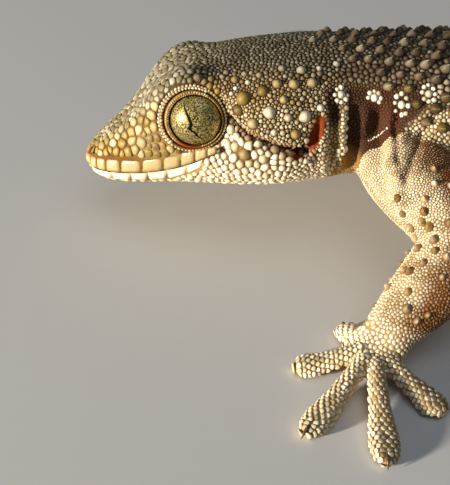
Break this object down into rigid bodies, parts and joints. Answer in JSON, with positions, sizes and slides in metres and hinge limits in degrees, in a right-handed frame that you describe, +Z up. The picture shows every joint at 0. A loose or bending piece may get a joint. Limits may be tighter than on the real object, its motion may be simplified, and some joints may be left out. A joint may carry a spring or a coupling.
{
  "type": "gecko",
  "caption": "Moorish gecko, adult, life size, as a still model standing on its four splayed feet with its belly and tail on the floor.",
  "frame": {"origin": "on the floor under the middle of the belly", "axes": "-X towards the snout, -Y the animal's left side, +Z up"},
  "size_m": [0.1519, 0.0677, 0.0184],
  "materials": {
    "skin": "matte, scaly",
    "pale_skin": "matte, scaly",
    "eye": "wet gloss"
  },
  "bodies": {
    "root": {"head": "skin", "lower_jaw": "pale_skin", "eye_left": "eye", "eye_right": "eye", "neck": "skin", "torso": "skin", "tail_base": "skin", "tail_middle": "skin", "tail_tip": "skin", "upper_arm_left": "skin", "forearm_left": "skin", "hand_left": "skin", "upper_arm_right": "skin", "forearm_right": "skin", "hand_right": "skin", "thigh_left": "skin", "shin_left": "skin", "foot_left": "skin", "thigh_right": "skin", "shin_right": "skin", "foot_right": "skin"}
  },
  "joints": []
}
